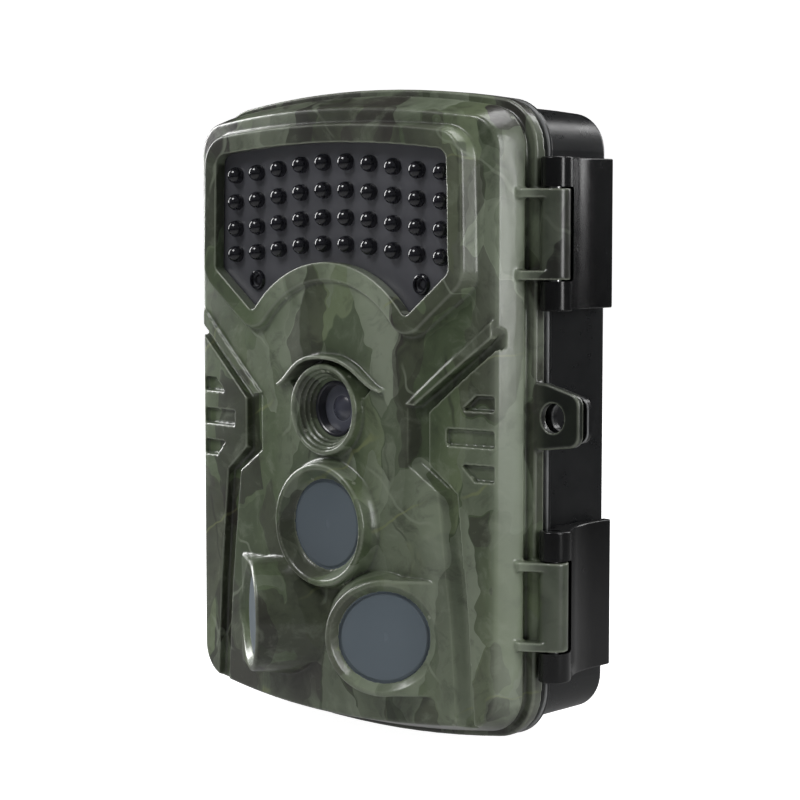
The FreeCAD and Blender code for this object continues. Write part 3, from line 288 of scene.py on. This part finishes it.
def plastic(name, lo, hi, rough=(0.32, 0.42), grain=1800.0, bump=0.12, coat=0.0, spec=0.5):
    """Moulded plastic or rubber: a little cloudiness in the colour, a fine spark-eroded grain and uneven gloss."""
    t = Tree(name)
    n = t.noise(90.0, 4.0, 0.6)
    t.link(t.ramp(n.outputs["Fac"], [(0.3, lo), (0.7, hi)]), t.b.inputs["Base Color"])
    r = t.noise(240.0, 3.0, 0.6)
    t.link(t.ramp(r.outputs["Fac"], [(0.3, rough[0]), (0.7, rough[1])]), t.b.inputs["Roughness"])
    g = t.noise(grain, 2.0, 0.5)
    t.bump(g.outputs["Fac"], bump, 0.00005)
    t.set(spec=spec, coat=coat, coat_rough=0.1)
    return t.m


def metal(name, col, rough=(0.22, 0.34), brush=(1, 1, 40)):
    t = Tree(name)
    n = t.noise(60.0, 4.0, 0.6)
    dark = tuple(k * 0.8 for k in col)
    t.link(t.ramp(n.outputs["Fac"], [(0.3, dark), (0.7, col)]), t.b.inputs["Base Color"])
    r = t.noise(120.0, 4.0, 0.6, vec=t.mapped(brush))
    t.link(t.ramp(r.outputs["Fac"], [(0.3, rough[0]), (0.7, rough[1])]), t.b.inputs["Roughness"])
    t.bump(r.outputs["Fac"], 0.06, 0.00003)
    t.set(metal=1.0)
    return t.m


def paint(o, m):
    o.data.materials.clear()
    o.data.materials.append(m)
    for p in o.data.polygons:
        p.material_index = 0


def ir_window_material():
    t = Tree("ir_window_plastic")
    y = t.axis(1)
    # the moulded domes stand in front of the sheet
    dome = t.ramp(t.math("MULTIPLY", t.math("ADD", y, 0.02505), -4000.0, clamp=True), [(0.0, 0.0), (0.5, 1.0)])
    n = t.noise(60.0, 3.0, 0.5)
    sheet = t.ramp(n.outputs["Fac"], [(0.3, (0.074, 0.075, 0.086)), (0.7, (0.090, 0.091, 0.103))])
    t.link(t.mix(dome, sheet, (0.012, 0.012, 0.016)), t.b.inputs["Base Color"])
    t.link(t.ramp(dome, [(0.0, 0.40), (1.0, 0.14)]), t.b.inputs["Roughness"])
    g = t.noise(1500.0, 2.0, 0.5)
    t.bump(g.outputs["Fac"], 0.05, 0.00003)
    t.set(spec=0.85)
    return t.m


def pir_material():
    t = Tree("pir_lens")
    n = t.noise(50.0, 2.0, 0.5)
    t.link(t.ramp(n.outputs["Fac"], [(0.3, (0.112, 0.138, 0.160)), (0.7, (0.124, 0.150, 0.172))]), t.b.inputs["Base Color"])
    t.set(rough=0.5, spec=0.22)
    g = t.noise(900.0, 2.0, 0.5)
    t.bump(g.outputs["Fac"], 0.04, 0.00003)
    return t.m


CAMO = camo_material()
BLACK = plastic("black_shell", (0.0085, 0.009, 0.0097), (0.0135, 0.014, 0.0148), (0.26, 0.34))


def flange_painted_highlight(m):
    """A painted highlight: a pale line along the front edge of the rear shell's flange, standing in for the light its
    rounded edge catches.
    """
    nt = m.node_tree
    b = nt.nodes["Principled BSDF"]
    src = b.inputs["Base Color"].links[0].from_socket
    co = nt.nodes.new("ShaderNodeTexCoord")
    xyz = nt.nodes.new("ShaderNodeSeparateXYZ")
    nt.links.new(co.outputs["Object"], xyz.inputs[0])
    mr = nt.nodes.new("ShaderNodeMath")
    mr.operation = "MULTIPLY_ADD"
    nt.links.new(xyz.outputs[1], mr.inputs[0])
    mr.inputs[1].default_value = 500.0
    mr.inputs[2].default_value = 500.0 * 0.01085
    rp = nt.nodes.new("ShaderNodeValToRGB")
    e = rp.color_ramp.elements
    e[0].position, e[0].color = 0.0, (0, 0, 0, 1)
    e[1].position, e[1].color = 0.06, (0.85, 0.85, 0.85, 1)
    for pos, v in ((0.24, 0.85), (0.34, 0.0)):
        x = e.new(pos)
        x.color = (v, v, v, 1)
    nt.links.new(mr.outputs[0], rp.inputs[0])
    n = nt.nodes.new("ShaderNodeTexNoise")
    n.inputs["Scale"].default_value = 60.0
    nt.links.new(co.outputs["Object"], n.inputs["Vector"])
    mu = nt.nodes.new("ShaderNodeMath")
    mu.operation = "MULTIPLY"
    nt.links.new(rp.outputs[0], mu.inputs[0])
    nt.links.new(n.outputs["Fac"], mu.inputs[1])
    mx = nt.nodes.new("ShaderNodeMix")
    mx.data_type = "RGBA"
    nt.links.new(mu.outputs[0], mx.inputs[0])
    nt.links.new(src, mx.inputs[6])
    # the painted highlight colour laid along the flange's front edge
    mx.inputs[7].default_value = (0.45, 0.46, 0.46, 1)
    nt.links.new(mx.outputs[2], b.inputs["Base Color"])


# painted highlight line on the rear shell's flange edge
flange_painted_highlight(BLACK)
LATCH = plastic("black_latch", (0.004, 0.004, 0.0043), (0.0065, 0.0065, 0.007), (0.20, 0.28))
SEAL = plastic("seal_rubber", (0.006, 0.006, 0.006), (0.01, 0.01, 0.01), (0.6, 0.7))
CAP = plastic("cap_rubber", (0.012, 0.012, 0.012), (0.018, 0.018, 0.018), (0.55, 0.7))
PANEL = plastic("panel_plastic", (0.022, 0.023, 0.026), (0.032, 0.033, 0.037), (0.45, 0.58))
PART = plastic("black_part", (0.008, 0.008, 0.009), (0.014, 0.014, 0.015), (0.45, 0.6))
KEY = plastic("key_rubber", (0.075, 0.077, 0.085), (0.10, 0.102, 0.11), (0.55, 0.7))
KNOB = plastic("switch_knob", (0.55, 0.55, 0.54), (0.62, 0.62, 0.61), (0.35, 0.5))
CARD = plastic("card_plastic", (0.012, 0.012, 0.014), (0.02, 0.02, 0.023), (0.35, 0.5))
CELL = plastic("cell_wrap", (0.03, 0.07, 0.045), (0.04, 0.085, 0.055), (0.2, 0.3), coat=0.5)
SCREEN = plastic("screen", (0.008, 0.009, 0.012), (0.012, 0.013, 0.017), (0.07, 0.12), bump=0.01)
BOARD = plastic("pcb", (0.01, 0.10, 0.04), (0.018, 0.15, 0.06), (0.3, 0.45))
EPOXY = plastic("led_epoxy", (0.05, 0.045, 0.06), (0.07, 0.06, 0.08), (0.08, 0.14), bump=0.01)
CLEAR = plastic("sensor_epoxy", (0.03, 0.03, 0.035), (0.045, 0.045, 0.05), (0.12, 0.2), bump=0.01)
DIE = plastic("sensor_die", (0.02, 0.02, 0.045), (0.03, 0.03, 0.07), (0.08, 0.12), bump=0.01)
STEEL = metal("steel", (0.55, 0.55, 0.54))
CAN = metal("metal_can", (0.68, 0.67, 0.64), (0.2, 0.3))
BRASS = metal("insert_brass", (0.72, 0.50, 0.20), (0.25, 0.4))
IRW = ir_window_material()
PIR = pir_material()


def glass(name, col, rough=0.03, alpha=0.35, coat=1.0):
    t = Tree(name)
    n = t.noise(40.0, 2.0, 0.5)
    dark = tuple(k * 0.85 for k in col)
    t.link(t.ramp(n.outputs["Fac"], [(0.3, dark), (0.7, col)]), t.b.inputs["Base Color"])
    t.set(rough=rough, alpha=alpha, coat=coat, coat_rough=0.02, ior=1.5)
    return t.m




def lens_cover():
    t = Tree("window_glass")
    x = t.axis(0)
    z = t.math("SUBTRACT", t.axis(2), (69.2 - FZ) / 1000.0)
    r = t.math("MULTIPLY", t.math("SQRT", t.math("ADD", t.math("MULTIPLY", x, x), t.math("MULTIPLY", z, z))), 100.0)
    n = t.noise(200.0, 2.0, 0.5)
    ring = t.ramp(r, [(0.28, (0.075, 0.078, 0.105)), (0.292, (0.19, 0.20, 0.23)), (0.305, (0.12, 0.125, 0.155)), (0.50, (0.105, 0.11, 0.14)), (0.53, (0.010, 0.011, 0.016))])
    c = t.mix(t.ramp(n.outputs["Fac"], [(0.35, 0.0), (0.65, 0.25)]), ring, (0.03, 0.028, 0.05))
    t.link(c, t.b.inputs["Base Color"])
    t.link(t.ramp(r, [(0.50, 0.24), (0.54, 0.35)]), t.b.inputs["Roughness"])
    t.set(spec=0.9, coat=0.6, coat_rough=0.12)
    return t.m


WINGLASS = lens_cover()
LENSGLASS = glass("lens_glass", (0.060, 0.050, 0.110), 0.06, 1.0)
FILTER = glass("filter_glass", (0.1, 0.3, 0.33), 0.05, 0.6)

BY_SLOT = {"camo_shell": CAMO, "black_shell": BLACK, "black_latch": LATCH, "seal_rubber": SEAL, "cap_rubber": CAP, "ir_window": IRW, "led_epoxy": EPOXY,
           "sensor_epoxy": CLEAR, "pcb": BOARD, "window_glass": WINGLASS, "lens_glass": LENSGLASS, "filter_glass": FILTER, "black_part": PART, "sensor_die": DIE,
           "pir_lens": PIR, "metal_can": CAN, "screen": SCREEN, "panel_plastic": PANEL, "key_rubber": KEY, "switch_knob": KNOB, "screw_steel": STEEL,
           "pin_steel": STEEL, "port_steel": STEEL, "card_plastic": CARD, "cell_wrap": CELL, "spring_steel": STEEL, "contact_steel": STEEL, "insert_brass": BRASS}
for sp in frame["record"]["subparts"]:
    paint(N[sp["node"]], BY_SLOT[sp["material_slot"]])


# ------------------------------------------------------------------ moulded skins
def skin(node, body, voxel, passes, material):
    """A copy of a CAD part with its edges worn round as they leave a mould."""
    src = N[node]
    me = src.data.copy()
    o = bpy.data.objects.new(node + "_skin", me)
    bpy.context.scene.collection.objects.link(o)
    o.matrix_world = Matrix.Identity(4)
    rm = o.modifiers.new("remesh", "REMESH")
    rm.mode = "VOXEL"
    rm.voxel_size = voxel
    rm.use_smooth_shade = True
    sm = o.modifiers.new("smooth", "SMOOTH")
    sm.factor = 0.5
    sm.iterations = passes
    bpy.context.view_layer.update()
    dg = bpy.context.evaluated_depsgraph_get()
    new = bpy.data.meshes.new_from_object(o.evaluated_get(dg))
    o.modifiers.clear()
    o.data = new
    for p in new.polygons:
        p.use_smooth = True
    paint(o, material)
    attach(o, body)
    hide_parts(node)
    return o


V = 0.00030
skin("front_shell", "front", V, 2, CAMO)


# ------------------------------------------------------------------ floor and light
def stage_floor():
    me = bpy.data.meshes.new("floor")
    bm = bmesh.new()
    prof = []
    for i in range(17):
        a = i / 16 * math.pi / 2
        prof.append((2.2 + 0.9 * math.sin(a), 0.9 - 0.9 * math.cos(a)))
    prof = [(-6.0, 0.0)] + prof + [(3.1, 6.0)]
    d = Vector((-0.68, 0.733, 0)).normalized()
    s = Vector((d.y, -d.x, 0))
    rows = [[bm.verts.new(d * u + s * w + Vector((0, 0, h))) for w in (-8.0, 8.0)] for u, h in prof]
    for a, b in zip(rows, rows[1:]):
        bm.faces.new((a[0], a[1], b[1], b[0]))
    bm.to_mesh(me)
    bm.free()
    for p in me.polygons:
        p.use_smooth = True
    o = bpy.data.objects.new("floor", me)
    bpy.context.scene.collection.objects.link(o)
    t = Tree("floor_paper")
    n = t.noise(3.0, 2.0, 0.5)
    t.link(t.ramp(n.outputs["Fac"], [(0.3, (0.60, 0.60, 0.60)), (0.7, (0.64, 0.64, 0.64))]), t.b.inputs["Base Color"])
    t.set(rough=0.8, spec=0.2)
    # paper lit from behind: bright to the eye, but it adds little light of its own; only in glossy reflections does
    # it glow, brightest under the object and fading by 0.42 m, as a painted reflection
    glow = t.node("ShaderNodeEmission")
    glow.inputs["Color"].default_value = (1, 1, 1, 1)
    glow.inputs["Strength"].default_value = 0.97
    both = t.node("ShaderNodeAddShader")
    t.link(t.b.outputs[0], both.inputs[0])
    t.link(glow.outputs[0], both.inputs[1])
    lp = t.node("ShaderNodeLightPath")
    glossy_floor_glow = t.node("ShaderNodeEmission")
    near = t.vmath("LENGTH", t.co(), (0, 0, 0))
    near = near.node.outputs["Value"]
    t.link(t.ramp(near, [(0.16, (1, 1, 1)), (0.42, (0.03, 0.03, 0.03))]), glossy_floor_glow.inputs["Color"])
    glossy_floor_glow.inputs["Strength"].default_value = 0.34
    off = t.node("ShaderNodeMixShader")
    t.link(lp.outputs["Is Glossy Ray"], off.inputs[0])
    t.link(t.b.outputs[0], off.inputs[1])
    t.link(glossy_floor_glow.outputs[0], off.inputs[2])
    mx = t.node("ShaderNodeMixShader")
    t.link(lp.outputs["Is Camera Ray"], mx.inputs[0])
    t.link(off.outputs[0], mx.inputs[1])
    t.link(both.outputs[0], mx.inputs[2])
    t.link(mx.outputs[0], next(n for n in t.t.nodes if n.type == "OUTPUT_MATERIAL").inputs[0])
    paint(o, t.m)


def area(name, loc, target, size, power, color=(1, 1, 1), shape="RECTANGLE"):
    l = bpy.data.lights.new(name, "AREA")
    l.shape = shape
    l.size, l.size_y = size
    l.energy = power
    l.color = color
    o = bpy.data.objects.new(name, l)
    bpy.context.scene.collection.objects.link(o)
    o.location = loc
    o.rotation_euler = (Vector(target) - Vector(loc)).to_track_quat("-Z", "Y").to_euler()
    return o


def studio_world(seen, lit):
    w = bpy.data.worlds.new("studio")
    bpy.context.scene.world = w
    w.use_nodes = True
    t = w.node_tree
    bg = t.nodes["Background"]
    bg.inputs[0].default_value = (0.93, 0.96, 1.0, 1)
    bg.inputs[1].default_value = lit
    b2 = t.nodes.new("ShaderNodeBackground")
    b2.inputs[0].default_value = (1, 1, 1, 1)
    b2.inputs[1].default_value = seen
    lp = t.nodes.new("ShaderNodeLightPath")
    mx = t.nodes.new("ShaderNodeMixShader")
    t.links.new(lp.outputs["Is Camera Ray"], mx.inputs[0])
    t.links.new(bg.outputs[0], mx.inputs[1])
    t.links.new(b2.outputs[0], mx.inputs[2])
    t.links.new(mx.outputs[0], t.nodes["World Output"].inputs[0])


def polar(az, el, r, up=0.07):
    """A place round the object: azimuth from straight in front of the lens towards its right-hand side."""
    a, e = math.radians(az), math.radians(el)
    return (r * math.sin(a) * math.cos(e), -r * math.cos(a) * math.cos(e), up + r * math.sin(e))


stage_floor()
studio_world(1.0, 0.10)
T = (0.0, 0.0, 0.07)
area("key_left", polar(-84, 18, 1.1), T, (0.42, 0.8), 9.0)
area("strip_right", polar(95, 10, 1.0), T, (0.28, 1.0), 5.8)
area("front_fill", polar(-12, 46, 1.3), T, (0.5, 0.4), 6.2)
area("top", (0.10, 0.25, 0.95), T, (0.7, 0.4), 3.2)
area("rim_back", polar(166, 28, 1.0), T, (0.20, 0.9), 2.8)
